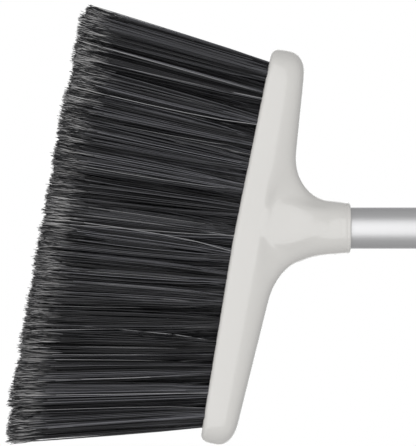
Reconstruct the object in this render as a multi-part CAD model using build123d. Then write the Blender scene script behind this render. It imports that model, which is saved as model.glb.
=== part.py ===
from build123d import *
from math import cos, radians, sin
import os

# Angled broom: a moulded head with fanned tufts on a straight aluminium handle, in millimetres.
# +Z runs up the handle's axis, the wide face looks along -Y, and the toe, the long arm, points to +X.
# Heights are drawn from the point where the head's crease crosses the handle's axis. At the end the
# whole broom is lifted, so that its lowest bristle tip lies at Z = 0.

# Handle tube
TUBE_OUTER = 25.0
TUBE_WALL = 1.2
TUBE_LENGTH = 730.0

# Threaded tip in the tube's lower end, and the rivet through both
COLLAR_HEIGHT = 3.0
SPIGOT_LENGTH = 32.0
THREAD_OUTER = 19.0
THREAD_LENGTH = 27.0
RIVET_OUTER = 3.2
RIVET_ABOVE_COLLAR = 6.0

# Soft grip sleeve at the handle's upper end
GRIP_LENGTH = 150.0
GRIP_WALL = 3.4
GRIP_EASE = 2.0

# Hanging cap that closes the tube's upper end
PLUG_LENGTH = 26.0
FLANGE_HEIGHT = 5.0
FLANGE_EASE = 1.6
EYE_WIDTH = 25.0
EYE_DEPTH = 11.0
EYE_RISE = 14.0
EYE_HOLE = 10.0
EYE_EASE = 2.0

# Handle socket of the head: its mouth is the end that the handle enters
MOUTH_RISE = 53.4
MOUTH_OUTER = 30.3
MOUTH_EASE = 1.0
MOUTH_DEPTH = 16.0
LIP_HEIGHT = 2.8
LIP_GROOVE = 0.6
LIP_STEP = 0.35
RUNNING_GAP = 0.3
SOCKET_END_GAP = 2.0
BOSS_BASE_DEPTH = 38.8
BOSS_BASE_WIDTH = 56.0
BOSS_BELLY_WIDTH = 50.0
BOSS_BELLY_RISE = 14.0
BOSS_WAIST_WIDTH = 37.2
BOSS_WAIST_RISE = 26.0
BOSS_NECK_WIDTH = 32.8
BOSS_NECK_RISE = 38.0
BOSS_BLEND = 4.0

# Bar of the head, along it and square to it. The heel is the short arm.
BAR_TILT = 10.4
HEEL_REACH = 108.0
TOE_REACH = 133.1
HEEL_END_RISE = 7.3
HEEL_ROOT_RISE = 14.5
TOE_END_RISE = 6.2
TOE_ROOT_RISE = 13.6
HEEL_CROOK = 27.2
TOE_CROOK = 38.0
NECK_CORE = 29.2
NECK_CORE_RISE = 50.0
BASE_DROP = 14.1
BASE_RIDGE = 2.4

# Section of the bar, from its base over the crease to the web under the neck, and its eased edges
BAR_DEPTH = 39.5
CREASE_ROUND = 3.0
WEB_RISE = 22.0
WEB_DEPTH = 20.6
WEB_ROUND = 36.0
WEB_TOP_DEPTH = 19.0
ARM_ROUND = 8.0
END_EASE = 1.2
END_PLAN_ROUND = 14.0
END_TOP_ROUND = 9.0
END_BASE_ROUND = 5.0
BASE_EASE = 1.2

# Tufts: staggered rows of folded bunches, each held by a staple in its strip of the block
ROWS = 5
ROW_PITCH = 7.2
TUFTS_IN_OUTER_ROW = 16
TUFT_PITCH = 14.0
LONG_ROW_PITCH = 13.75
FIELD_CENTRE = 12.6
STRIP_MARGIN = 3.6
STRIP_TOP_DROP = 6.5
STAPLE_LENGTH = 5.0
STAPLE_WIDTH = 0.5
STAPLE_HEIGHT = 2.5

# Bristles: the strands of a tuft fan out from its root to the trimmed line
STRANDS_IN_TUFT = 4
STRAND_SIDES = 3
STRAND_RADIUS = 0.95
STRAND_TURN = 137.5
STRAND_SEAT = 1.5
TUFT_ROOT_RADIUS = 1.75
TUFT_SPREAD = 2.6
TIP_CENTRE = 21.0
FAN_ALONG = 1.195
FAN_ACROSS = 1.7
TRIM_DROP = 131.6
TRIM_BOW = 1.5

# Directions and places worked out from the sizes above
TILT = radians(BAR_TILT)
BAR_ALONG = Vector(cos(TILT), 0, -sin(TILT))
BAR_UP = Vector(sin(TILT), 0, cos(TILT))
BAR_FRONT = Plane(origin=(0, 0, 0), x_dir=BAR_ALONG, z_dir=(0, -1, 0))
BAR_SECTION = Plane(origin=(0, 0, 0), x_dir=(0, 1, 0), z_dir=BAR_ALONG)
BAR_LENGTH = HEEL_REACH + TOE_REACH
BAR_CENTRE = (TOE_REACH - HEEL_REACH) / 2
DEEP = BASE_DROP + BAR_DEPTH
TUBE_BORE = TUBE_OUTER - 2 * TUBE_WALL
MOUTH_FLOOR = MOUTH_RISE - MOUTH_DEPTH
LIP_BASE = MOUTH_RISE - LIP_HEIGHT
BOSS_TOP = LIP_BASE - LIP_GROOVE
COLLAR_BASE = MOUTH_FLOOR + RUNNING_GAP
THREAD_END = COLLAR_BASE - THREAD_LENGTH
TUBE_BASE = COLLAR_BASE + COLLAR_HEIGHT
TUBE_TOP = TUBE_BASE + TUBE_LENGTH
RIVET_RISE = TUBE_BASE + RIVET_ABOVE_COLLAR
GRIP_OUTER = TUBE_OUTER + 2 * GRIP_WALL
FLANGE_TOP = TUBE_TOP + FLANGE_HEIGHT
EYE_CENTRE = FLANGE_TOP + EYE_RISE
TIP_HALF = TUFTS_IN_OUTER_ROW * TUFT_PITCH / 2 * FAN_ALONG + TUFT_SPREAD * TUFT_ROOT_RADIUS
NEARLY_ONE = cos(radians(0.8))


def upright_bar(radius, low, high):
    """A solid cylinder on the handle's axis."""
    return Pos(0, 0, low) * Cylinder(radius, high - low, align=(Align.CENTER, Align.CENTER, Align.MIN))


def bar_block(length, height, depth, along, top, across):
    """A box in the bar's own axes, hung from its top."""
    return BAR_FRONT * Pos(along, top - height / 2, -across) * Box(length, height, depth)


def bar_point(along, across, up):
    """A point given in the bar's own axes."""
    return BAR_ALONG * along + Vector(0, across, 0) + BAR_UP * up


def front_point(x, z):
    """A point of the upright front view, in the bar's front-view axes."""
    return (x * cos(TILT) - z * sin(TILT), x * sin(TILT) + z * cos(TILT))


def neck_side(side, up):
    """The front-view point at height up above the crease on the neck core's heel (-1) or toe (1) side."""
    return ((side * NECK_CORE / 2 - up * sin(TILT)) / cos(TILT), up)


def base_drop(along):
    """How far the bar's base lies below the crease: two flats that meet in a low ridge at its middle."""
    return BASE_DROP + BASE_RIDGE * (1 - abs(along - BAR_CENTRE) / (BAR_LENGTH / 2))


def below_base():
    """Everything below the bar's base."""
    heel = -HEEL_REACH - BAR_DEPTH
    toe = TOE_REACH + BAR_DEPTH
    flats = [(along, -base_drop(along)) for along in (heel, BAR_CENTRE, toe)]
    outline = Polyline(*flats, (toe, -DEEP), (heel, -DEEP), close=True)
    return extrude(BAR_FRONT * make_face(outline), BAR_DEPTH, both=True)


def head_front(half_depth, runout):
    """The front outline of arms, crooks and neck core, its arms run out past their ends."""
    heel_root = neck_side(-1, HEEL_ROOT_RISE)
    toe_root = neck_side(1, TOE_ROOT_RISE)
    heel_fall = (HEEL_ROOT_RISE - HEEL_END_RISE) / (HEEL_REACH + heel_root[0])
    toe_fall = (TOE_ROOT_RISE - TOE_END_RISE) / (TOE_REACH - toe_root[0])
    corners = [
        (-HEEL_REACH - runout, -DEEP),
        (-HEEL_REACH - runout, HEEL_END_RISE - heel_fall * runout),
        heel_root,
        front_point(-NECK_CORE / 2, NECK_CORE_RISE),
        front_point(NECK_CORE / 2, NECK_CORE_RISE),
        toe_root,
        (TOE_REACH + runout, TOE_END_RISE - toe_fall * runout),
        (TOE_REACH + runout, -DEEP),
    ]
    rounds = [0, 0, HEEL_CROOK, 0, 0, TOE_CROOK, 0, 0]
    outline = FilletPolyline(*corners, radius=rounds, close=True)
    return extrude(BAR_FRONT * make_face(outline), half_depth, both=True)


def head_section():
    """The bar's section all along it: an upright band, a sloped shoulder and the thinner web."""
    half = [
        (BAR_DEPTH / 2, -DEEP),
        (BAR_DEPTH / 2, 0),
        (WEB_DEPTH / 2, WEB_RISE),
        (WEB_TOP_DEPTH / 2, 2 * NECK_CORE_RISE),
    ]
    half_rounds = [0, CREASE_ROUND, WEB_ROUND, 0]
    corners = half + [(-across, up) for across, up in reversed(half)]
    outline = FilletPolyline(*corners, radius=half_rounds + half_rounds[::-1], close=True)
    return extrude(BAR_SECTION * make_face(outline), BAR_LENGTH, both=True)


def upper_edges(body):
    """The long edges of the walls that look up along arms, crooks and neck, front and back."""
    edges = []
    for face in body.faces():
        normal = face.normal_at(face.center())
        square_to_front = abs(normal.Y) < 1 - NEARLY_ONE
        end_or_base = abs(normal.dot(BAR_ALONG)) > NEARLY_ONE or normal.dot(BAR_UP) < -NEARLY_ONE
        if square_to_front and not end_or_base and normal.Z < NEARLY_ONE:
            edges += [edge for edge in face.edges() if abs(edge.tangent_at(0.5).Y) < 0.7]
    return edges


def rounded_arms():
    """Front outline and section together, with one round running over both arms and crooks."""
    body = head_front(BAR_DEPTH, END_EASE) & head_section()
    return body.fillet(ARM_ROUND, upper_edges(body))


def rounded_ends():
    """The same outline with full-depth walls, its four upright corners and its end tops rounded."""
    body = head_front(BAR_DEPTH / 2 + END_EASE, 0)
    upright = [edge for edge in body.edges() if abs(edge.tangent_at(0.5).dot(BAR_UP)) > NEARLY_ONE]
    body = body.fillet(END_PLAN_ROUND, upright)
    tops = []
    for face in body.faces():
        normal = face.normal_at(face.center())
        if face.geom_type == GeomType.PLANE and NEARLY_ONE > normal.Z > 0.9:
            tops += [edge for edge in face.edges() if abs(edge.center().X) > NECK_CORE * 2]
    return body.fillet(END_TOP_ROUND, tops)


def above_base():
    """The bar's front outline as a plain block, its two base corners rounded in the front view."""
    flats = [(along, -base_drop(along)) for along in (-HEEL_REACH, BAR_CENTRE, TOE_REACH)]
    rounds = [END_BASE_ROUND, 0, END_BASE_ROUND, 0, 0]
    outline = FilletPolyline(*flats, (TOE_REACH, DEEP), (-HEEL_REACH, DEEP), radius=rounds, close=True)
    return extrude(BAR_FRONT * make_face(outline), BAR_DEPTH, both=True)


def boss_oval(width, rise):
    """A level section of the boss: its depth shrinks evenly from the bar to the round mouth."""
    depth = BOSS_BASE_DEPTH + (MOUTH_OUTER - BOSS_BASE_DEPTH) * rise / BOSS_TOP
    return Pos(0, 0, rise) * Ellipse(width / 2, depth / 2)


def socket_boss():
    """The outside of the handle socket: a wide oval at the bar, drawn in to the round neck and its lip."""
    ovals = [
        boss_oval(BOSS_BASE_WIDTH, 0),
        boss_oval(BOSS_BELLY_WIDTH, BOSS_BELLY_RISE),
        boss_oval(BOSS_WAIST_WIDTH, BOSS_WAIST_RISE),
        boss_oval(BOSS_NECK_WIDTH, BOSS_NECK_RISE),
        boss_oval(MOUTH_OUTER, BOSS_TOP),
    ]
    groove = upright_bar(MOUTH_OUTER / 2 - LIP_STEP, BOSS_TOP, LIP_BASE)
    lip = upright_bar(MOUTH_OUTER / 2, LIP_BASE, MOUTH_RISE)
    lip = lip.chamfer(MOUTH_EASE, None, [lip.edges().sort_by(Axis.Z)[-1]])
    return loft(ovals) + groove + lip


def tufts_in_row(row):
    """Every second row has one more tuft, so that the rows lie staggered."""
    return TUFTS_IN_OUTER_ROW + (row + 1) % 2


def row_pitch(row):
    """The longer rows stand a little closer, so that their end tufts stay on the block."""
    return TUFT_PITCH if tufts_in_row(row) == TUFTS_IN_OUTER_ROW else LONG_ROW_PITCH


def tuft_places(row):
    """Where the tufts of a row stand along the bar."""
    count = tufts_in_row(row)
    return [FIELD_CENTRE + (tuft - (count - 1) / 2) * row_pitch(row) for tuft in range(count)]


def row_across(row):
    """Where a row lies across the bar, from the front to the back."""
    return (row - (ROWS + 1) / 2) * ROW_PITCH


def row_strip(row):
    """The slice of the block that a row is seated in, still square at its base."""
    length = (tufts_in_row(row) - 1) * row_pitch(row) + 2 * STRIP_MARGIN
    return bar_block(length, base_drop(BAR_CENTRE), ROW_PITCH, FIELD_CENTRE, -STRIP_TOP_DROP, row_across(row))


def row_staples(row):
    """The flat steel anchors of a row, one above each tuft."""
    across = row_across(row)
    size = (STAPLE_LENGTH, STAPLE_HEIGHT, STAPLE_WIDTH)
    return [bar_block(*size, along, -STRIP_TOP_DROP, across) for along in tuft_places(row)]


def strand(row, along, number):
    """One bristle, a slanted three-sided bar from its seat in the strip to the trimmed line."""
    turn = radians(360 / STRANDS_IN_TUFT * number + STRAND_TURN * row)
    shift_along = TUFT_ROOT_RADIUS * cos(turn)
    shift_across = TUFT_ROOT_RADIUS * sin(turn)
    tip_along = TIP_CENTRE + FAN_ALONG * (along - FIELD_CENTRE) + TUFT_SPREAD * shift_along
    tip_across = FAN_ACROSS * row_across(row) + TUFT_SPREAD * shift_across
    tip_up = TRIM_BOW * ((tip_along - TIP_CENTRE) / TIP_HALF) ** 2 - TRIM_DROP
    root_along = along + shift_along
    root = bar_point(root_along, row_across(row) + shift_across, STRAND_SEAT - base_drop(root_along))
    line = bar_point(tip_along, tip_across, tip_up) - root
    seat = Plane(origin=root, x_dir=BAR_ALONG.rotate(Axis((0, 0, 0), BAR_UP), STRAND_TURN * number), z_dir=BAR_UP)
    return extrude(seat * RegularPolygon(STRAND_RADIUS, STRAND_SIDES), line.length, dir=line)


def bristle_row(row, base):
    """A row of tufts on its strip, with the slots for the staples cut from above."""
    strip = row_strip(row) - base - row_staples(row)
    strands = [strand(row, along, number) for along in tuft_places(row) for number in range(STRANDS_IN_TUFT)]
    return strip + strands


def head_block(base):
    """The one-piece moulding: bar, web and socket, bored for the handle and cut for the strips."""
    bar = (rounded_arms() & rounded_ends()) - base
    flats = [face for face in bar.faces() if face.normal_at(face.center()).dot(BAR_UP) < -0.9]
    ridge = [edge for edge in flats[0].edges() if edge in flats[1].edges()]
    rim = [edge for face in flats for edge in face.edges() if edge not in ridge]
    bar = bar.chamfer(BASE_EASE, None, rim) & above_base()
    boss = socket_boss()
    head = bar + boss
    head = head.fillet(BOSS_BLEND, new_edges(bar, boss, combined=head))
    head -= upright_bar(TUBE_OUTER / 2 + RUNNING_GAP, MOUTH_FLOOR, 2 * MOUTH_RISE)
    head -= upright_bar(THREAD_OUTER / 2 + RUNNING_GAP, THREAD_END - SOCKET_END_GAP, MOUTH_RISE)
    return head - [row_strip(row) for row in ROW_NUMBERS]


def rivet_bar():
    """The straight bar that the rivet and its holes are made from."""
    return Pos(0, 0, RIVET_RISE) * Rot(0, 90, 0) * Cylinder(RIVET_OUTER / 2, 2 * TUBE_OUTER)


def handle_tube():
    """Drawn tube, with the rivet's holes near its lower end."""
    tube = upright_bar(TUBE_OUTER / 2, TUBE_BASE, TUBE_TOP)
    tube -= upright_bar(TUBE_BORE / 2, TUBE_BASE, TUBE_TOP)
    return tube - rivet_bar()


def thread_tip():
    """Moulded insert: a spigot in the tube, a collar under its end and the screwed shank."""
    shank = upright_bar(THREAD_OUTER / 2, THREAD_END, COLLAR_BASE)
    collar = upright_bar(TUBE_OUTER / 2, COLLAR_BASE, TUBE_BASE)
    spigot = upright_bar(TUBE_BORE / 2, TUBE_BASE, TUBE_BASE + SPIGOT_LENGTH)
    return shank + collar + spigot - rivet_bar()


def tip_rivet():
    """Cross rivet, dressed flush with the tube."""
    return rivet_bar() & upright_bar(TUBE_OUTER / 2, TUBE_BASE, TUBE_TOP)


def grip_sleeve():
    """Soft sleeve turned from one outline, its lower edge eased."""
    inner = TUBE_OUTER / 2
    outer = GRIP_OUTER / 2
    low = TUBE_TOP - GRIP_LENGTH
    corners = [
        (outer, TUBE_TOP),
        (inner, TUBE_TOP),
        (inner, low),
        (outer - GRIP_EASE, low),
        (outer, low + GRIP_EASE),
    ]
    return revolve(Plane.XZ * make_face(Polyline(*corners, close=True)), Axis.Z)


def hang_cap():
    """End cap: a plug in the tube, a flange over tube and grip, and the hanging eye."""
    flange = upright_bar(GRIP_OUTER / 2, TUBE_TOP, FLANGE_TOP)
    flange = flange.chamfer(FLANGE_EASE, None, [flange.edges().sort_by(Axis.Z)[-1]])
    low = TUBE_TOP + FLANGE_HEIGHT / 2
    arch = Pos(0, EYE_CENTRE) * Circle(EYE_WIDTH / 2)
    arch += Pos(0, (low + EYE_CENTRE) / 2) * Rectangle(EYE_WIDTH, EYE_CENTRE - low)
    eye = extrude(Plane.XZ * arch, EYE_DEPTH / 2, both=True)
    rims = [edge for edge in eye.edges() if abs(edge.tangent_at(0.5).Y) < 0.5 and edge.center().Z > FLANGE_TOP]
    eye = eye.chamfer(EYE_EASE, None, rims)
    cap = flange + eye + upright_bar(TUBE_BORE / 2, TUBE_TOP - PLUG_LENGTH, TUBE_TOP)
    return cap - Pos(0, 0, EYE_CENTRE) * Rot(90, 0, 0) * Cylinder(EYE_HOLE / 2, GRIP_OUTER)


ROW_NUMBERS = range(1, ROWS + 1)
BASE = below_base()
broom = {"head_block": head_block(BASE)}
for row_number in ROW_NUMBERS:
    broom[f"bristle_row_{row_number}"] = bristle_row(row_number, BASE)
    broom[f"staples_row_{row_number}"] = Compound(row_staples(row_number))
broom["thread_tip"] = thread_tip()
broom["tip_rivet"] = tip_rivet()
broom["handle_tube"] = handle_tube()
broom["grip_sleeve"] = grip_sleeve()
broom["hang_cap"] = hang_cap()

LIFT = -min(piece.bounding_box().min.Z for piece in broom.values())
os.makedirs("parts", exist_ok=True)
for name, piece in broom.items():
    export_step(Pos(0, 0, LIFT) * piece, f"parts/{name}.step")
print(f"lift {LIFT:.3f}, mouth {LIFT + MOUTH_RISE:.3f}, hanging eye {LIFT + EYE_CENTRE:.3f}")
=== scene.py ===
import math

import bmesh
import bpy
from mathutils import Matrix, Vector


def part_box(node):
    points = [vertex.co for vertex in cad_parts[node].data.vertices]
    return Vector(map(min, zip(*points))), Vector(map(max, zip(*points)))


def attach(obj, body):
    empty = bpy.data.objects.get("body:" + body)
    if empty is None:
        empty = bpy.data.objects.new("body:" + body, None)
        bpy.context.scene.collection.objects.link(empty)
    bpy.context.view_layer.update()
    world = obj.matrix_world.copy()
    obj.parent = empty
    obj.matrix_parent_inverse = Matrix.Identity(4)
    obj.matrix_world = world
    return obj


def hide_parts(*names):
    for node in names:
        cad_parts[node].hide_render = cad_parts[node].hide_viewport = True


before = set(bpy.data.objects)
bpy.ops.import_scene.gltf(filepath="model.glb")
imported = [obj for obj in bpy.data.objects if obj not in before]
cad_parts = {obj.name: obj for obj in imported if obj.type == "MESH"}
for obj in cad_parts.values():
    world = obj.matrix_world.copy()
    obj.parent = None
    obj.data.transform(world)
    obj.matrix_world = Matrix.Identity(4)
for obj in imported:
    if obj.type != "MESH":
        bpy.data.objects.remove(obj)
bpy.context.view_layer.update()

# The head is one injection moulding in pale warm-grey polypropylene: a bar with two tapering arms and
# the socket that the handle screws into. It leaves the mould glossy, with every edge eased, and a fine
# line marks off the lip at the socket's mouth.
# The broom's own sizes are in millimetres; the frame, the stage and every mesh are in metres.
MM = 0.001
bar_tilt = math.radians(10.4)
heel_end, toe_end = -108.0, 133.1
bar_centre = (heel_end + toe_end) / 2
bar_half_length = (toe_end - heel_end) / 2
bar_half_depth = 19.75
base_depth = 14.1
base_ridge = 2.4
mouth_rise = 53.4
mouth_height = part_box("head_block")[1].z
crease_height = mouth_height - mouth_rise * MM
bar_along = Vector((math.cos(bar_tilt), 0, -math.sin(bar_tilt)))
bar_up = Vector((math.sin(bar_tilt), 0, math.cos(bar_tilt)))


def bar_point(along, across, up):
    """A place in the bar's own axes, in millimetres from where its crease crosses the handle's axis."""
    x = along * math.cos(bar_tilt) + up * math.sin(bar_tilt)
    z = up * math.cos(bar_tilt) - along * math.sin(bar_tilt)
    return Vector((x * MM, across * MM, z * MM + crease_height))


def bar_length(place):
    """How far a place in the frame lies along the bar, in millimetres."""
    return (place.x * math.cos(bar_tilt) - (place.z - crease_height) * math.sin(bar_tilt)) / MM


def bar_height(place):
    """How far a place in the frame lies above the crease, square to the bar, in millimetres."""
    return (place.x * math.sin(bar_tilt) + (place.z - crease_height) * math.cos(bar_tilt)) / MM


def base_drop(along):
    """The bar's base lies this far below its crease: two flats that meet in a low ridge at the middle."""
    return base_depth + base_ridge * (1 - abs(along - bar_centre) / bar_half_length)


merge_distance = 0.002 * MM


def cad_copy(node):
    """A merged copy of a CAD node, as a bmesh."""
    form = bmesh.new()
    form.from_mesh(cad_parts[node].data)
    bmesh.ops.remove_doubles(form, verts=form.verts, dist=merge_distance)
    return form


def cut_above(form, height, lift):
    """Takes off what lies above a height, closes the ring-shaped cut and lifts it."""
    everything = form.verts[:] + form.edges[:] + form.faces[:]
    cut = bmesh.ops.bisect_plane(
        form, geom=everything, plane_co=(0, 0, height), plane_no=(0, 0, 1), clear_outer=True
    )
    rims = [part for part in cut["geom_cut"] if isinstance(part, bmesh.types.BMEdge)]
    bmesh.ops.bridge_loops(form, edges=rims)
    for vertex in {vertex for rim in rims for vertex in rim.verts}:
        vertex.co.z += lift


def add_prism(form, outline, half_depth):
    """A closed prism whose outline is given along the bar and up, as deep in front as behind."""
    sides = [[form.verts.new(bar_point(along, across, up)) for along, up in outline]
             for across in (-half_depth, half_depth)]
    faces = [form.faces.new(side) for side in sides]
    for near in range(len(outline)):
        far = (near + 1) % len(outline)
        faces.append(form.faces.new((sides[0][near], sides[0][far], sides[1][far], sides[1][near])))
    bmesh.ops.recalc_face_normals(form, faces=faces)


full_turn = 2 * math.pi


def add_turning(form, outline, sides):
    """A closed outline of radius and height, in millimetres, turned about the handle's axis."""
    turns = [full_turn * side / sides for side in range(sides)]
    rings = []
    for radius, height in outline:
        reach = radius * MM
        ring = [(reach * math.cos(turn), reach * math.sin(turn), height * MM) for turn in turns]
        rings.append([form.verts.new(place) for place in ring])
    faces = []
    for ring, after in zip(rings, rings[1:] + rings[:1]):
        for side in range(sides):
            following = (side + 1) % sides
            faces.append(form.faces.new((ring[side], ring[following], after[following], after[side])))
    bmesh.ops.recalc_face_normals(form, faces=faces)


def rounded_corner(radius, height, ease, start, steps=6):
    """Points of a quarter round in an outline of radius and height, from a start angle in degrees."""
    turns = [math.radians(start + 90 * step / steps) for step in range(steps + 1)]
    return [(radius + ease * math.cos(turn), height + ease * math.sin(turn)) for turn in turns]


def new_piece(name, form):
    """A piece of the scene from a bmesh."""
    mesh = bpy.data.meshes.new(name)
    form.to_mesh(mesh)
    form.free()
    piece = bpy.data.objects.new(name, mesh)
    bpy.context.scene.collection.objects.link(piece)
    return piece


def as_plain_mesh(piece):
    """Makes what the piece's modifiers give its own mesh, and takes the modifiers off."""
    made = bpy.data.meshes.new_from_object(piece.evaluated_get(bpy.context.evaluated_depsgraph_get()))
    piece.modifiers.clear()
    piece.data = made


def one_skin(piece, grain):
    """Makes closed shells one skin of even faces."""
    skin = piece.modifiers.new("one skin", "REMESH")
    skin.mode = "VOXEL"
    skin.voxel_size = grain * MM
    as_plain_mesh(piece)


def eased(piece, passes, weigh):
    """Relaxes a skin as far as a weight for each place says, so that its edges ease as a moulding's do."""
    group = piece.vertex_groups.new(name="eased")
    for vertex in piece.data.vertices:
        group.add([vertex.index], weigh(vertex.co), "REPLACE")
    ease = piece.modifiers.new("eased edges", "SMOOTH")
    ease.factor = 0.5
    ease.iterations = passes
    ease.vertex_group = group.name
    as_plain_mesh(piece)
    piece.vertex_groups.clear()
    piece.data.shade_smooth()


def smooth_edges(piece, sharpest):
    """Shades a piece smooth, but for edges that turn by more than an angle in degrees."""
    piece.data.shade_smooth()
    piece.data.set_sharp_from_angle(angle=math.radians(sharpest))


def ramp(value, start, end):
    """0 up to a start and 1 from an end on, evenly between them."""
    return min(max((value - start) / (end - start), 0), 1)


def between(value, rising, falling):
    """1 between two stretches, over which it rises from 0 and falls back to 0."""
    return ramp(value, *rising) * ramp(value, *falling)


mouth_kept = 4.0, 9.0
shoulder_low = -6.0, 2.0
beside_boss = 20.0, 32.0
end_run = 20.0, 8.0
crease_stretch = (-11.0, -5.0), (30.0, 18.0)
crease_depth = 5.0, 12.0
crease_on_boss = 0.25
flank_stretch = (8.0, 14.0), (44.0, 34.0)
flank_width = (8.0, 13.0), (40.0, 30.0)
flank_depth = 3.0, 7.0
neck_stretch = (26.0, 34.0), (50.0, 44.0)


def edge_weight(place):
    """All of the moulding but its crisp mouth."""
    return ramp((mouth_height - place.z) / MM, *mouth_kept)


def shoulder_weight(place):
    """Shoulder and arms, which run in one soft curve, but neither base nor socket."""
    return ramp(bar_height(place), *shoulder_low) * ramp(abs(place.x) / MM, *beside_boss)


def end_weight(place):
    """The bar's two ends."""
    along = bar_length(place)
    return ramp(min(along - heel_end, toe_end - along), *end_run)


def crease_weight(place):
    """Front and back on both sides of the crease, less on the boss and not the outline."""
    band = between(bar_height(place), *crease_stretch) * ramp(abs(place.y) / MM, *crease_depth)
    return band * (crease_on_boss + (1 - crease_on_boss) * ramp(abs(place.x) / MM, *beside_boss))


def flank_weight(place):
    """The flanks of the boss, where it runs out into the arms, but neither its front nor the outline."""
    band = between((place.z - crease_height) / MM, *flank_stretch)
    return band * between(abs(place.x) / MM, *flank_width) * ramp(abs(place.y) / MM, *flank_depth)


def neck_weight(place):
    """The neck, where the arms' curves run out into it, but not its mouth."""
    return between((place.z - crease_height) / MM, *neck_stretch)


cad_plan_round, plan_round = 14.0, 19.0
cad_top_round, top_round = 9.0, 11.6
top_round_rise = -9.0, 6.0
heel_push, toe_push = -1.0, 1.5
end_push_run = 14.0, 0.0


def round_drop(inset, radius):
    """How far a quarter round has fallen away at an inset from where it ends."""
    return radius - math.sqrt(radius ** 2 - max(radius - inset, 0) ** 2)


def round_ends(piece):
    """Draws the bar's ends in, in plan and at the top, so that each is round like the end of a thumb."""
    for vertex in piece.data.vertices:
        along = bar_length(vertex.co)
        inset = max(min(along - heel_end, toe_end - along), 0)
        drop = round_drop(inset, top_round) - round_drop(inset, cad_top_round)
        drop *= ramp(bar_height(vertex.co), *top_round_rise)
        depth = bar_half_depth - round_drop(inset, plan_round)
        push = (toe_push if along > bar_centre else heel_push) * ramp(inset, *end_push_run)
        vertex.co.y *= depth / (bar_half_depth - round_drop(inset, cad_plan_round))
        vertex.co += (bar_along * push - bar_up * drop) * MM


face_depth = 9.0, 14.0
boss_lean, boss_widening = -3.4, 0.1
lean_rise, lean_reach = (42.0, 16.0), (36.0, 24.0)
heel_swell, toe_swell = -1.0, 0.6
swell_stretch = (5.0, 19.0), (40.0, 26.0)
swell_width = (0.0, 8.0), (50.0, 14.0)
boss_drop, heel_drop = 2.2, 0.09
drop_low, drop_top, drop_reach = (0.0, 5.0), (24.0, 10.0), (26.0, 14.0)
heel_fill, toe_fill = -0.75, 0.75
heel_fill_low, toe_fill_low = (30.0, 37.0), (16.0, 24.0)
heel_fill_top, toe_fill_top = (48.0, 40.0), (40.0, 28.0)
heel_fill_rest, toe_fill_rest = 0.5, 0.15
fill_reach = 4.0, 15.0


def boss_shift(place, rise):
    """How far a place on the boss's front or back leans, swells and is drawn down to the bar."""
    aside = abs(place.x)
    lean = (boss_widening * place.x + boss_lean) * ramp(rise, *lean_rise) * ramp(aside, *lean_reach)
    swell = between(rise, *swell_stretch) * between(aside, *swell_width)
    swell *= toe_swell if place.x > 0 else heel_swell
    drop = (boss_drop - heel_drop * place.x) * ramp(bar_height(place * MM), *drop_low)
    drop *= ramp(rise, *drop_top) * ramp(aside, *drop_reach)
    return (bar_along * (lean + swell) - bar_up * drop) * ramp(abs(place.y), *face_depth)


def neck_fill(place, rise):
    """How much fuller the neck's curve is at a place, outwards along X."""
    if place.x < 0:
        fill = heel_fill * ramp(rise, *heel_fill_low)
        fill *= heel_fill_rest + (1 - heel_fill_rest) * ramp(rise, *heel_fill_top)
    else:
        fill = toe_fill * ramp(rise, *toe_fill_low)
        fill *= toe_fill_rest + (1 - toe_fill_rest) * ramp(rise, *toe_fill_top)
    return fill * ramp(abs(place.x), *fill_reach)


def shape_boss(piece):
    """Leans and widens the boss above the bar and fills out the neck's curves."""
    for vertex in piece.data.vertices:
        place = vertex.co / MM
        rise = place.z - crease_height / MM
        vertex.co += boss_shift(place, rise) * MM
        vertex.co.x += neck_fill(place, rise) * MM


bulb_side, bulb_rise, bulb_reach, bulb_ease = -2.3, 14.0, 11.8, 5.0
bulb_proud = 0.55
heel_taper, toe_taper, taper_start = 0.2, 0.36, 2.0
bulb_fade = 26.0, 8.0
heel_side_proud = 1.1
heel_side_width = (2.0, 11.0), (24.0, 11.0)
heel_side_stretch = (2.0, 16.0), (37.0, 24.0)
heel_side_depth = 4.0, 12.0


def bulb_share(place, above):
    """How much of the bulb's height a place has: all of it within a round that narrows up into the neck."""
    aside = abs(place.x - bulb_side)
    taper = heel_taper if place.x < bulb_side else toe_taper
    reach = math.hypot(aside, above) if above < 0 else aside + taper * max(above - taper_start, 0)
    share = ramp(reach, bulb_reach + bulb_ease, bulb_reach)
    return share ** 2 * (3 - 2 * share) * ramp(above, *bulb_fade) * ramp(abs(place.y), *face_depth)


def heel_side_share(place, above):
    """How much of the fullness on the heel's side of the neck a place has."""
    side = between(-place.x, *heel_side_width) * between(above, *heel_side_stretch)
    return side * ramp(abs(place.y), *heel_side_depth)


def raise_bulb(piece):
    """Stands the boss's front and back a little proud of the webs, as a bulb that runs into the neck."""
    for vertex in piece.data.vertices:
        place = vertex.co / MM
        above = place.z - crease_height / MM - bulb_rise
        proud = bulb_proud * bulb_share(place, above) + heel_side_proud * heel_side_share(place, above)
        vertex.co.y += math.copysign(proud * MM, place.y)


def finish_piece(piece, material, body):
    """Gives a piece its material and the body that it moves with."""
    piece.data.materials.clear()
    piece.data.materials.append(material)
    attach(piece, body)


class Wire:
    """An output of a node, which adds, multiplies and so on as a number does."""

    def __init__(self, tree, socket):
        self.tree = tree
        self.socket = socket

    def worked(self, operation, *others):
        return node_out(self.tree, "ShaderNodeMath", dict(enumerate((self,) + others)), operation=operation)

    def __add__(self, other):
        return self.worked("ADD", other)

    def __sub__(self, other):
        return self.worked("SUBTRACT", other)

    def __mul__(self, other):
        return self.worked("MULTIPLY", other)

    def __truediv__(self, other):
        return self.worked("DIVIDE", other)


def connect(tree, value, socket):
    """Feeds a socket with a wire or a plain value."""
    if isinstance(value, Wire):
        tree.links.new(value.socket, socket)
    else:
        socket.default_value = value


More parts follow.
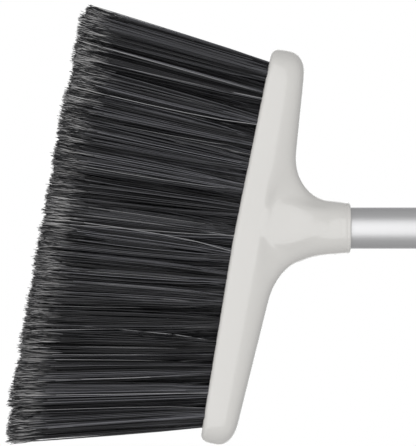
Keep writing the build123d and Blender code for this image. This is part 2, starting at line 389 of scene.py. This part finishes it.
def node_with(tree, kind, feeds, **options):
    """A new node with its options set and its inputs fed, each named by its place, identifier or name."""
    node = tree.nodes.new(kind)
    for option, value in options.items():
        setattr(node, option, value)
    for key, value in feeds.items():
        exact = [socket for socket in node.inputs if socket.identifier == key]
        connect(tree, value, exact[0] if exact else node.inputs[key])
    return node


def node_out(tree, kind, feeds, output=0, **options):
    """A new node's output as a wire."""
    return Wire(tree, node_with(tree, kind, feeds, **options).outputs[output])


def add_inputs(tree, values):
    """Number inputs for a node group, each with its value, and the wires that bring them in."""
    for name, value in values.items():
        socket = tree.interface.new_socket(name, in_out="INPUT", socket_type="NodeSocketFloat")
        socket.default_value = value
    entry = tree.nodes.new("NodeGroupInput")
    return {socket.name: Wire(tree, socket) for socket in entry.outputs if socket.name}


def noise(tree, place, scale, detail=2.0, roughness=0.5):
    """Fractal noise from 0 to 1 over a place."""
    feeds = {"Vector": place, "Scale": scale, "Detail": detail, "Roughness": roughness}
    return node_out(tree, "ShaderNodeTexNoise", feeds)


def tinted(tree, share, low, high):
    """A colour that runs with a share from low to high, each a colour or a wire that carries one."""
    ends = [end if isinstance(end, Wire) else (*end, 1) for end in (low, high)]
    feeds = {"Factor_Float": share, "A_Color": ends[0], "B_Color": ends[1]}
    return node_out(tree, "ShaderNodeMix", feeds, 2, data_type="RGBA")


def bumped(tree, height, strength, distance):
    """A normal that follows a height."""
    return node_out(tree, "ShaderNodeBump", {"Height": height, "Strength": strength, "Distance": distance})


def new_material(name, **constants):
    """A material with its Principled shader, on which the constant values are set."""
    material = bpy.data.materials.new(name)
    material.use_nodes = True
    shader = material.node_tree.nodes["Principled BSDF"]
    for socket, value in constants.items():
        shader.inputs[socket.replace("_", " ")].default_value = value
    return material, material.node_tree, shader


mottle_in_gloss, grain_in_gloss = 0.06, 0.03
grain_in_height = 0.7


def moulded_skin():
    """The shader group of moulded plastic: a broad flow mottle, a fine grain and the gloss they give."""
    group = bpy.data.node_groups.new("moulded skin", "ShaderNodeTree")
    given = add_inputs(group, {"Mottle Scale": 20.0, "Grain Scale": 900.0, "Gloss": 0.3})
    for name in ("Mottle", "Roughness", "Height"):
        group.interface.new_socket(name, in_out="OUTPUT", socket_type="NodeSocketFloat")
    place = node_out(group, "ShaderNodeTexCoord", {}, "Object")
    mottle = noise(group, place, given["Mottle Scale"], detail=3.0)
    grain = noise(group, place, given["Grain Scale"])
    rough = given["Gloss"] + (mottle - 0.5) * mottle_in_gloss + (grain - 0.5) * grain_in_gloss
    height = grain * grain_in_height + mottle * (1 - grain_in_height)
    node_with(group, "NodeGroupOutput", {"Mottle": mottle, "Roughness": rough, "Height": height})
    return group


moulded_skin_group = moulded_skin()
moulded_relief = 0.1 * MM


def moulded_plastic(name, colour, deeper, gloss, mottle_scale, grain_scale, relief):
    """A moulded plastic whose colour deepens a little with the flow mottle."""
    material, tree, shader = new_material(name, IOR=1.53)
    skin = tree.nodes.new("ShaderNodeGroup")
    skin.node_tree = moulded_skin_group
    for socket, value in (("Mottle Scale", mottle_scale), ("Grain Scale", grain_scale), ("Gloss", gloss)):
        skin.inputs[socket].default_value = value
    mottle, rough, height = [Wire(tree, skin.outputs[part]) for part in ("Mottle", "Roughness", "Height")]
    connect(tree, tinted(tree, mottle, deeper, colour), shader.inputs["Base Color"])
    connect(tree, rough, shader.inputs["Roughness"])
    connect(tree, bumped(tree, height, relief, moulded_relief), shader.inputs["Normal"])
    return material


head_colour = (0.700, 0.688, 0.664)
head_deepening = 0.95
head_deeper = tuple(head_deepening * part for part in head_colour)
head_plastic = moulded_plastic(
    "head plastic", head_colour, head_deeper, gloss=0.13, mottle_scale=18.0, grain_scale=700.0, relief=0.02
)

cad_lip = 3.6
lip_height = 2.2
field_centre = 12.6
pocket_half_length, pocket_half_depth, pocket_roof = 113.6, 18.0, 6.0
pocket_low, pocket_high = field_centre - pocket_half_length, field_centre + pocket_half_length
pocket_outline = [(along, -base_drop(along)) for along in (pocket_low, bar_centre, pocket_high)]
pocket_outline += [(pocket_high, -pocket_roof), (pocket_low, -pocket_roof)]
head_form = cad_copy("head_block")
cut_above(head_form, mouth_height - cad_lip * MM, (cad_lip - lip_height) * MM)
add_prism(head_form, pocket_outline, pocket_half_depth)

head_grain = 0.8
edge_passes, shoulder_passes, end_passes = 8, 24, 50
crease_passes, flank_passes, neck_passes, rim_passes = 240, 60, 40, 30
head = new_piece("head_moulding", head_form)
one_skin(head, head_grain)
round_ends(head)
shape_boss(head)
one_skin(head, head_grain)
eased(head, edge_passes, edge_weight)
eased(head, shoulder_passes, shoulder_weight)
eased(head, end_passes, end_weight)
eased(head, crease_passes, crease_weight)
eased(head, flank_passes, flank_weight)
eased(head, neck_passes, neck_weight)
raise_bulb(head)
eased(head, rim_passes, flank_weight)

socket_bore, bore_ease = 12.8, 0.4
lip_radius, lip_ease, lip_root, lip_line = 15.6, 1.2, 4.0, 0.08
turned_sides = 160
lip_top = mouth_height / MM
lip_low = lip_top - lip_height
lip_core = lip_radius - lip_line
lip_outline = [(socket_bore, lip_low - lip_root), (lip_core, lip_low - lip_root), (lip_core, lip_low)]
lip_outline += [(lip_radius, lip_low + lip_line)]
lip_outline += rounded_corner(lip_radius - lip_ease, lip_top - lip_ease, lip_ease, 0)
lip_outline += rounded_corner(socket_bore + bore_ease, lip_top - bore_ease, bore_ease, 90)
lip_form = bmesh.new()
lip_form.from_mesh(head.data)
add_turning(lip_form, lip_outline, turned_sides)
lip_form.to_mesh(head.data)
lip_form.free()
smooth_edges(head, sharpest=50)
finish_piece(head, head_plastic, "head")
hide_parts("head_block")

# The bristles are extruded polymer filaments, about half a millimetre thick, charcoal grey. Each tuft is
# folded round its staple and driven into the block; the rows fan out to the trimmed line, where the
# filaments are flagged, that is split into finer fibres that look paler.
rows = 5
row_pitch = 7.2
row_seed = 20
short_row_tufts, short_row_pitch = 16, 13.8
long_row_tufts, long_row_pitch = 17, 13.55
filament_steps = 5
fibres_in_filament, fibre_steps = 4, 4
strand_sides = 3
golden_turn = 2.39996
bristle_sizes = {
    "Tufts": short_row_tufts, "Tuft Pitch": short_row_pitch, "Row Across": 0.0,
    "Field Centre": field_centre, "Filaments": 90, "Tuft Radius": 3.8, "Spread Along": 2.1,
    "Spread Across": 1.45, "Tuft Lean": 3.4, "Seat": 1.5, "Tip Centre": 21.0, "Fan Along": 1.192,
    "Fan Across": 1.40, "Trim Drop": 132.9, "Trim Bow": 1.5, "Trim Half": 138.4, "Ragged": 3.0,
    "Proud": 2.2, "Tuft Ragged": 2.4, "Wander": 1.4, "Stray": 5.4, "Bow": 1.8, "Clump Pitch": 2.1,
    "Clumping": 0.95, "Filament Radius": 0.29, "Fibre Radius": 0.18, "Flag Start": 0.84,
    "Flag Scatter": 0.06, "Flag Flare": 1.0, "Crinkle": 0.7, "Seed": 0,
}
draws = {
    "lean along": 1, "lean across": 2, "proud": 3, "wander": 4, "clump": 5, "short": 6, "tuft length": 7,
    "bow along": 8, "bow across": 9, "own shade": 10, "fibre length": 11, "flare along": 12,
    "flare across": 13, "fibre shade": 14, "crinkle": 15, "flag start": 16, "clump shade": 17,
    "point shade": 18,
}
tuft_packing, tuft_opening = 0.35, 0.6
end_spread = 0.7
wander_inward = 1.25
lean_sideways = 0.4
short_power, proud_power, flare_power, pale_power = 3.0, 9.0, 1.4, 30.0
clumps_apart = 100.0
# Filaments drawn above pale_from are pale, and all of them stray; their pale colour is partly a painted
# highlight where the strays catch the light.
stray_from, pale_from = 0.97, 0.98
own_part = 0.64
shortest_fibre = 0.965
fibre_taper = 0.15


def chance(tree, size, draw, number, low, high):
    """A random value for each number, from the row's draw of that name."""
    feeds = {"Min_001": low, "Max_001": high, "ID": number, "Seed": size["Seed"] + draws[draw]}
    return node_out(tree, "FunctionNodeRandomValue", feeds, 1)


def tuft_seat(size, number):
    """The tuft that a filament is in, the tuft's place in its row and the filament's shifts in the tuft."""
    tuft = (number / size["Filaments"]).worked("FLOOR")
    member = number - tuft * size["Filaments"]
    tuft_place = (tuft - (size["Tufts"] - 1) * 0.5) * size["Tuft Pitch"]
    spread = ((member + 0.5) / size["Filaments"]).worked("POWER", tuft_packing) * size["Tuft Radius"]
    turn = member * golden_turn + tuft
    return tuft, tuft_place, spread * turn.worked("COSINE"), spread * turn.worked("SINE")


def filament_root(size, axis_along, shift_along):
    """The height at which a filament comes out of the bar's ridged base."""
    off_middle = (axis_along + shift_along - bar_centre).worked("ABSOLUTE") / bar_half_length
    return off_middle * base_ridge - (base_depth + base_ridge) + size["Seat"]


def filament_tip(tree, size, number, tuft, tuft_place, inner):
    """Where the tuft's axis ends, along and across, and the height at which the filament is cut."""
    lean = inner * size["Tuft Lean"]
    leaning = chance(tree, size, "lean along", tuft, -1, 1) * lean
    sideways = chance(tree, size, "lean across", tuft, -lean_sideways, lean_sideways) * lean
    tip_along = size["Tip Centre"] + tuft_place * size["Fan Along"] + leaning
    tip_across = size["Row Across"] * size["Fan Across"] + sideways
    trimmed = ((tip_along - size["Tip Centre"]) / size["Trim Half"]).worked("POWER", 2.0) * size["Trim Bow"]
    short = chance(tree, size, "short", number, 0, 1).worked("POWER", short_power) * size["Ragged"]
    proud = chance(tree, size, "proud", number, 0, 1).worked("POWER", proud_power) * inner * size["Proud"]
    uneven = chance(tree, size, "tuft length", tuft, 0, 1) * size["Tuft Ragged"]
    return tip_along, tip_across, trimmed - size["Trim Drop"] + short - proud + uneven


def clumped(tree, size, tuft, shift_along, inner):
    """A filament's shift along, drawn towards its clump, and the clump's number."""
    clump = shift_along / size["Clump Pitch"] + chance(tree, size, "clump", tuft, 0, 1)
    pull = (clump * full_turn).worked("SINE") * size["Clump Pitch"] / full_turn
    drawn = shift_along - pull * size["Clumping"] * inner
    return drawn, clump.worked("ROUND") + tuft * clumps_apart


def wandered(tree, size, number, tuft_place, inner):
    """How far aside a filament's tip wanders: all of them a little, and a few strays much further."""
    # The strays are the palest draws, so the pale filaments, partly painted highlight, are all strays.
    stray = chance(tree, size, "own shade", number, 0, 1).worked("GREATER_THAN", stray_from)
    reach = stray * inner * size["Stray"] + size["Wander"]
    inward = tuft_place / (bar_half_length * -wander_inward)
    return (inward + chance(tree, size, "wander", number, -1, 1)) * reach


def filament_place(tree, size, number, share):
    """Where a filament is at a share of its length, along, across and up, and the number of its clump."""
    tuft, tuft_place, shift_along, shift_across = tuft_seat(size, number)
    inner = (tuft_place / bar_half_length).worked("POWER", 2.0) * -1.0 + 1.0
    axis_along = size["Field Centre"] + tuft_place
    root_up = filament_root(size, axis_along, shift_along)
    tip_along, tip_across, tip_up = filament_tip(tree, size, number, tuft, tuft_place, inner)
    drawn, clump = clumped(tree, size, tuft, shift_along, inner)
    open_up = share.worked("POWER", tuft_opening)
    opened = (inner * (1 - end_spread) + end_spread) * size["Spread Along"]
    bow = (share - share * share) * 4.0 * size["Bow"]

    aside = wandered(tree, size, number, tuft_place, inner) * open_up
    along = axis_along + (tip_along - axis_along) * share + aside
    along = along + shift_along + (drawn * opened - shift_along) * open_up
    along = along + bow * inner * chance(tree, size, "bow along", number, -1, 1)
    across = size["Row Across"] + (tip_across - size["Row Across"]) * share
    across = across + shift_across * (open_up * (size["Spread Across"] - 1) + 1)
    across = across + bow * chance(tree, size, "bow across", number, -1, 1)
    return along, across, root_up + (tip_up - root_up) * share, clump


def in_frame(tree, along, across, up):
    """A place in the bar's axes, in millimetres, turned into the frame, in metres."""
    place = node_out(tree, "ShaderNodeCombineXYZ", {"X": along * MM, "Y": across * MM, "Z": up * MM})
    feeds = {"Vector": place, "Angle": bar_tilt}
    turned = node_out(tree, "ShaderNodeVectorRotate", feeds, rotation_type="Y_AXIS")
    feeds = {"Vector": turned, "Vector_001": (0, 0, crease_height)}
    return node_out(tree, "ShaderNodeVectorMath", feeds, operation="ADD")


def numbered(index, steps):
    """The strand that a point is on, and the point's share of the way along it."""
    strand = ((index + 0.5) / steps).worked("FLOOR")
    return strand, (index - strand * steps) / (steps - 1)


def strands(tree, count, steps, place, number, share, radius, marks):
    """Thin tubes through rows of points, with marks stored on them for the material."""
    points = node_out(tree, "GeometryNodePoints", {"Count": count * steps, "Position": place})
    for name, value in marks.items():
        feeds = {"Geometry": points, "Name": name, "Value": value}
        points = node_out(tree, "GeometryNodeStoreNamedAttribute", feeds)
    feeds = {"Points": points, "Curve Group ID": number, "Weight": share}
    curves = node_out(tree, "GeometryNodePointsToCurves", feeds)
    feeds = {"Resolution": strand_sides, "Radius": MM}
    profile = node_out(tree, "GeometryNodeCurvePrimitiveCircle", feeds)
    feeds = {"Curve": curves, "Profile Curve": profile, "Scale": radius, "Fill Caps": True}
    return node_out(tree, "GeometryNodeCurveToMesh", feeds)


def flag_start(tree, size, filament):
    """The share of its length at which a filament splits."""
    return size["Flag Start"] + chance(tree, size, "flag start", filament, -1, 1) * size["Flag Scatter"]


def filament_shafts(tree, size, index):
    """The filaments up to where they split, a few of them marked as pale: strays whose pale colour is
    partly painted highlight.
    """
    filament, step = numbered(index, filament_steps)
    share = step * flag_start(tree, size, filament)
    along, across, up, clump = filament_place(tree, size, filament, share)
    place = in_frame(tree, along, across, up)
    own = chance(tree, size, "own shade", filament, 0, 1)
    # The tone mixes a draw of the filament's own with one of its clump's, so whole clumps run lighter or
    # darker: partly the filaments' own tone, partly painted sheen and shade on the clumps.
    shade = own * own_part + chance(tree, size, "clump shade", clump, 0, 1) * (1 - own_part)
    marks = {"flag": step, "shade": shade.worked("MAXIMUM", own.worked("GREATER_THAN", pale_from))}
    count = size["Tufts"] * size["Filaments"]
    return strands(tree, count, filament_steps, place, filament, step, size["Filament Radius"], marks)


def filament_flags(tree, size, index):
    """The finer fibres into which each filament's end is split."""
    fibre, step = numbered(index, fibre_steps)
    parent = ((fibre + 0.5) / fibres_in_filament).worked("FLOOR")
    start = flag_start(tree, size, parent)
    reach = chance(tree, size, "fibre length", fibre, shortest_fibre, 1.0) - start
    along, across, up = filament_place(tree, size, parent, start + step * reach)[:3]
    flare = step.worked("POWER", flare_power) * size["Flag Flare"]
    crinkle = step * size["Crinkle"] * chance(tree, size, "crinkle", index, -1, 1)
    along = along + flare * chance(tree, size, "flare along", fibre, -1, 1) + crinkle
    across = across + flare * chance(tree, size, "flare across", fibre, -1, 1)
    place = in_frame(tree, along, across, up)
    # The fibres of a pale stray stay pale: partly painted highlight.
    pale = chance(tree, size, "own shade", parent, 0, 1).worked("POWER", pale_power)
    own = chance(tree, size, "fibre shade", fibre, 0, 1)
    shade = (own + chance(tree, size, "point shade", index, 0, 1)) * 0.5
    marks = {"flag": step + 1.0, "shade": shade.worked("MAXIMUM", pale)}
    radius = size["Fibre Radius"] * (step * -fibre_taper + 1.0)
    count = size["Tufts"] * size["Filaments"] * fibres_in_filament
    return strands(tree, count, fibre_steps, place, fibre, step, radius, marks)


def dressed_output(tree, geometries, material, smooth):
    """Joins geometries, makes their instances real, gives them their material and puts them out."""
    joined = tree.nodes.new("GeometryNodeJoinGeometry")
    for geometry in geometries:
        tree.links.new(geometry.socket, joined.inputs[0])
    made = Wire(tree, joined.outputs[0])
    if smooth:
        made = node_out(tree, "GeometryNodeSetShadeSmooth", {"Geometry": made})
    real = node_out(tree, "GeometryNodeRealizeInstances", {"Geometry": made})
    dressed = node_out(tree, "GeometryNodeSetMaterial", {"Geometry": real, "Material": material})
    node_with(tree, "NodeGroupOutput", {"Geometry": dressed})


def bristle_tree(material):
    """The Geometry Nodes tree that makes one row of tufts."""
    tree = bpy.data.node_groups.new("bristle row", "GeometryNodeTree")
    tree.interface.new_socket("Geometry", in_out="OUTPUT", socket_type="NodeSocketGeometry")
    size = add_inputs(tree, bristle_sizes)
    index = node_out(tree, "GeometryNodeInputIndex", {})
    made = filament_shafts(tree, size, index), filament_flags(tree, size, index)
    dressed_output(tree, made, material, smooth=True)
    return tree


def spanned(tree, value, low, high, start, end):
    """A value from low to high, carried over to start to end and kept within them."""
    feeds = {"Value": value, "From Min": low, "From Max": high, "To Min": start, "To Max": end}
    return node_out(tree, "ShaderNodeMapRange", feeds)


# The ends of the filaments' tone range: real charcoal, spread so wide that the darkest filaments are partly
# painted shade in the gaps and the lightest partly painted highlight streaks.
charcoal_and_painted_shade, charcoal_and_painted_highlight = (0.004, 0.004, 0.005), (0.174, 0.175, 0.198)
# The pale filaments' colour: partly their own, partly painted highlight on the strays.
pale_and_highlit_filament = (0.29, 0.29, 0.30)
flag_colour = (0.478, 0.473, 0.473)
shade_power = 3.0
paling_start, paling_end = 0.93, 1.5
tip_start, tip_end, tip_share = 1.7, 2.0, 0.6
lit_start, lit_end, lit_least = 0.53, 0.62, 0.02
filament_roughness, shade_roughness, flag_roughness = 0.24, 0.16, 0.35
filament_sheen, shade_sheen = 0.15, 0.75


def bristle_polymer():
    """Charcoal filaments, the darkest partly painted shade, the lightest and a few pale ones partly painted
    highlight, and paler where they are flagged.
    """
    material, tree, shader = new_material("bristle polymer", IOR=1.5)
    flag = node_out(tree, "ShaderNodeAttribute", {}, "Fac", attribute_name="flag")
    shade = node_out(tree, "ShaderNodeAttribute", {}, "Fac", attribute_name="shade")
    # Body tone: real charcoal, with painted shade on the darkest filaments and painted highlights on the
    # lightest.
    body = tinted(tree, shade.worked("POWER", shade_power), charcoal_and_painted_shade, charcoal_and_painted_highlight)
    # Pale strays: partly painted highlight.
    body = tinted(tree, shade.worked("GREATER_THAN", pale_from), body, pale_and_highlit_filament)
    paling = spanned(tree, flag, paling_start, paling_end, 0.0, 1.0)
    tip_darkening = spanned(tree, flag, tip_start, tip_end, 1.0, tip_share)
    lit_fibres = spanned(tree, shade, lit_start, lit_end, lit_least, 1.0)
    flagged = paling * tip_darkening * lit_fibres
    rough = flagged * flag_roughness + (shade * shade_roughness + filament_roughness)
    connect(tree, tinted(tree, flagged, body, flag_colour), shader.inputs["Base Color"])
    connect(tree, rough, shader.inputs["Roughness"])
    connect(tree, shade * shade_sheen + filament_sheen, shader.inputs["Specular IOR Level"])
    return material


def add_maker(piece, name, tree, values):
    """Puts a Geometry Nodes tree on a piece with the values of some of its inputs."""
    maker = piece.modifiers.new(name, "NODES")
    maker.node_group = tree
    for item in tree.interface.items_tree:
        if item.in_out == "INPUT" and item.name in values:
            maker[item.identifier] = float(values[item.name])


bristle_material = bristle_polymer()
bristle_maker = bristle_tree(bristle_material)
for row in range(1, rows + 1):
    long_row = row % 2 == 0
    row_sizes = {
        "Tufts": long_row_tufts if long_row else short_row_tufts,
        "Tuft Pitch": long_row_pitch if long_row else short_row_pitch,
        "Row Across": (row - (rows + 1) / 2) * row_pitch,
        "Seed": row_seed * row,
    }
    bristles = new_piece(f"bristles_{row}", bmesh.new())
    add_maker(bristles, "bristle row", bristle_maker, row_sizes)
    as_plain_mesh(bristles)
    finish_piece(bristles, bristle_material, "head")
    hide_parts(f"bristle_row_{row}")

# Flat steel staples anchor each folded tuft in its hole. They are cut from plain drawn wire, and the
# tufts hide them once they are driven home.
metal_rim = (0.45, 0.45, 0.46, 1)
metal_deepening = 0.94
cloud_scale = 14.0
lines_in_colour = 0.7
colour_low, colour_high = 0.35, 0.65
lines_in_gloss, cloud_in_gloss = 0.10, 0.06
line_relief = 0.02 * MM


def drawn_metal(name, colour, roughness, line_stretch, line_scale, relief):
    """A drawn metal: fine lines along the handle's direction that vary its gloss, in slight relief."""
    material, tree, shader = new_material(name, Metallic=1.0, Specular_Tint=metal_rim)
    place = node_out(tree, "ShaderNodeTexCoord", {}, "Object")
    drawn = node_out(tree, "ShaderNodeMapping", {"Vector": place, "Scale": (1, 1, line_stretch)})
    lines = noise(tree, drawn, line_scale, detail=3.0, roughness=0.6)
    cloud = noise(tree, place, cloud_scale)
    drift = lines * lines_in_colour + cloud * (1 - lines_in_colour)
    bright = spanned(tree, drift, colour_low, colour_high, 0, 1)
    rough = (lines - 0.5) * lines_in_gloss + (cloud - 0.5) * cloud_in_gloss + roughness
    darker = tuple(metal_deepening * part for part in colour)
    connect(tree, tinted(tree, bright, darker, colour), shader.inputs["Base Color"])
    connect(tree, rough, shader.inputs["Roughness"])
    connect(tree, bumped(tree, lines, relief, line_relief), shader.inputs["Normal"])
    return material


def dress_node(node, material):
    """Gives a CAD node that stays as it is a better material."""
    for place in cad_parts[node].material_slots:
        place.material = material


staple_steel = drawn_metal(
    "staple steel", (0.56, 0.57, 0.58), roughness=0.35, line_stretch=0.1, line_scale=900.0, relief=0.1
)
for row in range(1, rows + 1):
    dress_node(f"staples_row_{row}", staple_steel)

# The handle's tip is a black moulded insert in the tube's lower end, with a collar under the tube's rim
# and the shank that screws into the head. A flush aluminium rivet through the tube holds it.
tip_colour, tip_deeper = (0.040, 0.040, 0.042), (0.026, 0.026, 0.027)
tip_plastic = moulded_plastic(
    "tip plastic", tip_colour, tip_deeper, gloss=0.42, mottle_scale=60.0, grain_scale=900.0, relief=0.08
)
dress_node("thread_tip", tip_plastic)
rivet_aluminium = drawn_metal(
    "rivet aluminium", (0.74, 0.74, 0.75), roughness=0.32, line_stretch=1.0, line_scale=700.0, relief=0.1
)
dress_node("tip_rivet", rivet_aluminium)

# The handle is a drawn aluminium tube, 25 mm across with a thin wall. It is satin anodised, so that it
# has a soft sheen with faint lines along it from drawing.
tube_radius, tube_bore = 12.5, 11.3
tube_low, tube_top = (corner.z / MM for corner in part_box("handle_tube"))
tube_outline = [(tube_radius, tube_low), (tube_radius, tube_top)]
tube_outline += [(tube_bore, tube_top), (tube_bore, tube_low)]
tube_form = bmesh.new()
add_turning(tube_form, tube_outline, turned_sides)
tube = new_piece("tube", tube_form)
smooth_edges(tube, sharpest=40)
tube_colour = (0.640, 0.640, 0.648)
tube_aluminium = drawn_metal(
    "satin aluminium", tube_colour, roughness=0.46, line_stretch=0.012, line_scale=1500.0, relief=0.06
)
finish_piece(tube, tube_aluminium, "handle")
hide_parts("handle_tube")

# The grip is a soft black rubber sleeve, pushed over the handle's upper end. Its waist is moulded with
# fine ribs for the fingers, between two plain rims.
grip_low, grip_top = (corner.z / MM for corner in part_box("grip_sleeve"))
grip_radius, grip_ease, grip_sides = 15.9, 1.6, 128
waist_depth, waist_taper, waist_length = 1.0, 8.0, 112.0
waist_low = (grip_low + grip_top - waist_length) / 2
waist_high = waist_low + waist_length
waist_radius = grip_radius - waist_depth
rib_sides, rib_section_sides = 96, 10
rib_sizes = {"Ribs": 22, "First Height": 0.0, "Pitch": 4.2, "Ring Radius": waist_radius, "Rib Size": 0.85}


def rib_tree(material):
    """The Geometry Nodes tree that adds a stack of rings to a turned sleeve."""
    tree = bpy.data.node_groups.new("grip ribs", "GeometryNodeTree")
    for way in ("INPUT", "OUTPUT"):
        tree.interface.new_socket("Geometry", in_out=way, socket_type="NodeSocketGeometry")
    size = add_inputs(tree, rib_sizes)
    start = node_out(tree, "ShaderNodeCombineXYZ", {"Z": size["First Height"] * MM})
    climb = node_out(tree, "ShaderNodeCombineXYZ", {"Z": size["Pitch"] * MM})
    feeds = {"Count": size["Ribs"], "Start Location": start, "Offset": climb}
    stack = node_out(tree, "GeometryNodeMeshLine", feeds)
    feeds = {"Resolution": rib_sides, "Radius": size["Ring Radius"] * MM}
    ring = node_out(tree, "GeometryNodeCurvePrimitiveCircle", feeds)
    feeds = {"Resolution": rib_section_sides, "Radius": size["Rib Size"] * MM}
    section = node_out(tree, "GeometryNodeCurvePrimitiveCircle", feeds)
    rib = node_out(tree, "GeometryNodeCurveToMesh", {"Curve": ring, "Profile Curve": section})
    ribs = node_out(tree, "GeometryNodeInstanceOnPoints", {"Points": stack, "Instance": rib})
    dressed_output(tree, (size["Geometry"], ribs), material, smooth=False)
    return tree


grip_colour, grip_deeper = (0.034, 0.034, 0.036), (0.022, 0.022, 0.023)
grip_rubber = moulded_plastic(
    "grip rubber", grip_colour, grip_deeper, gloss=0.62, mottle_scale=40.0, grain_scale=1600.0, relief=0.25
)
grip_outline = [(tube_radius, grip_low), (grip_radius - grip_ease, grip_low)]
grip_outline += rounded_corner(grip_radius - grip_ease, grip_low + grip_ease, grip_ease, -90)
grip_outline += [(grip_radius, waist_low), (waist_radius, waist_low + waist_taper)]
grip_outline += [(waist_radius, waist_high - waist_taper), (grip_radius, waist_high)]
grip_outline += [(grip_radius, grip_top), (tube_radius, grip_top)]
grip_form = bmesh.new()
add_turning(grip_form, grip_outline, grip_sides)
grip = new_piece("grip", grip_form)
first_rib = (waist_low + waist_high - (rib_sizes["Ribs"] - 1) * rib_sizes["Pitch"]) / 2
add_maker(grip, "grip ribs", rib_tree(grip_rubber), {"First Height": first_rib})
as_plain_mesh(grip)
smooth_edges(grip, sharpest=40)
finish_piece(grip, grip_rubber, "handle")
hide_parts("grip_sleeve")

# The hanging cap closes the handle's upper end: a plug in the tube, a flange over tube and grip, and an
# eye for a wall hook. It is moulded from the same pale plastic as the head, with its edges eased.
cap_grain, cap_passes = 0.4, 6
cap_plastic = moulded_plastic(
    "cap plastic", head_colour, head_deeper, gloss=0.30, mottle_scale=30.0, grain_scale=700.0, relief=0.05
)
cap = new_piece("cap", cad_copy("hang_cap"))
one_skin(cap, cap_grain)
eased(cap, cap_passes, lambda place: 1.0)
finish_piece(cap, cap_plastic, "handle")
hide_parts("hang_cap")

# The stage: a pale floor well below the hanging broom, which fades out into a white surround, a broad
# soft light behind the camera and a weaker one behind the broom. The surround looks white, but is dimmer
# in reflections, which gives the round handle its darker flanks.
floor_height, floor_radius = -0.55, 1.2
floor_grey = (0.86, 0.86, 0.86, 1)
fade_start, fade_end, fade_least = 0.3, 0.96 * floor_radius, 0.6


def floor_paint():
    """Pale matt floor near the broom, plain white for the camera towards its rim and clear from below."""
    material, tree, shader = new_material("floor paint", Roughness=0.9, Base_Color=floor_grey)
    place = node_out(tree, "ShaderNodeTexCoord", {}, "Object")
    feeds = {"Vector": place, "Vector_001": (1, 1, 0)}
    level = node_out(tree, "ShaderNodeVectorMath", feeds, operation="MULTIPLY")
    far = node_out(tree, "ShaderNodeVectorMath", {"Vector": level}, "Value", operation="LENGTH")
    fade = spanned(tree, far, fade_start, fade_end, fade_least, 1)
    seen = node_out(tree, "ShaderNodeLightPath", {}, "Is Camera Ray")
    white = node_out(tree, "ShaderNodeEmission", {"Color": (1, 1, 1, 1), "Strength": 1.0})
    painted = Wire(tree, shader.outputs[0])
    mixed = node_out(tree, "ShaderNodeMixShader", {"Fac": fade * seen, 1: painted, 2: white})
    below = node_out(tree, "ShaderNodeNewGeometry", {}, "Backfacing")
    clear = node_out(tree, "ShaderNodeBsdfTransparent", {})
    shown = node_out(tree, "ShaderNodeMixShader", {"Fac": below * seen, 1: mixed, 2: clear})
    tree.links.new(shown.socket, tree.nodes["Material Output"].inputs["Surface"])
    return material


floor_corners = (-1, -1), (1, -1), (1, 1), (-1, 1)
floor_places = [(x * floor_radius, y * floor_radius, floor_height) for x, y in floor_corners]
floor_form = bmesh.new()
floor_form.faces.new([floor_form.verts.new(place) for place in floor_places])
floor = new_piece("floor", floor_form)
floor.data.materials.append(floor_paint())


def soft_light(name, place, aim, width, height, radiance):
    """A soft light whose face has a given radiance, which is how bright a mirror would show it."""
    lamp = bpy.data.lights.new(name, "AREA")
    lamp.shape = "RECTANGLE"
    lamp.size, lamp.size_y = width, height
    lamp.energy = radiance * math.pi * width * height
    holder = bpy.data.objects.new(name, lamp)
    holder.location = place
    holder.rotation_euler = (Vector(aim) - Vector(place)).to_track_quat("-Z", "Y").to_euler()
    holder.visible_camera = False
    bpy.context.scene.collection.objects.link(holder)


soft_light("front light", place=(0.03, -1.75, 0), aim=(0, 0, 0), width=3.3, height=1.6, radiance=1.43)
soft_light("back light", place=(0, 2.0, 0.3), aim=(0, 0, 0.3), width=3.0, height=1.6, radiance=1.0)

surround_fill = 0.46
surround_sheen = 0.50
world = bpy.data.worlds.new("white surround")
world.use_nodes = True
bpy.context.scene.world = world
surround = world.node_tree
seen = node_out(surround, "ShaderNodeLightPath", {}, "Is Camera Ray")
mirrored = node_out(surround, "ShaderNodeLightPath", {}, "Is Glossy Ray")
strength = seen * (1.0 - surround_fill) + mirrored * (surround_sheen - surround_fill) + surround_fill
connect(surround, strength, surround.nodes["Background"].inputs["Strength"])
surround.nodes["Background"].inputs["Color"].default_value = (1, 1, 1, 1)

# The camera looks square on to the broom's wide face and is turned on its side, so that the handle
# leaves the picture to the right.
view_across, view_distance, view_height = -0.0031, 1.4, 0.12354
eye = bpy.data.cameras.new("camera")
eye.sensor_width = 36.0
eye.lens = 185.8
camera = bpy.data.objects.new("camera", eye)
camera.matrix_world = Matrix((
    (0, -1, 0, view_across),
    (0, 0, -1, -view_distance),
    (1, 0, 0, view_height),
    (0, 0, 0, 1),
))
bpy.context.scene.collection.objects.link(camera)
bpy.context.scene.camera = camera
bpy.context.scene.view_settings.view_transform = "Standard"
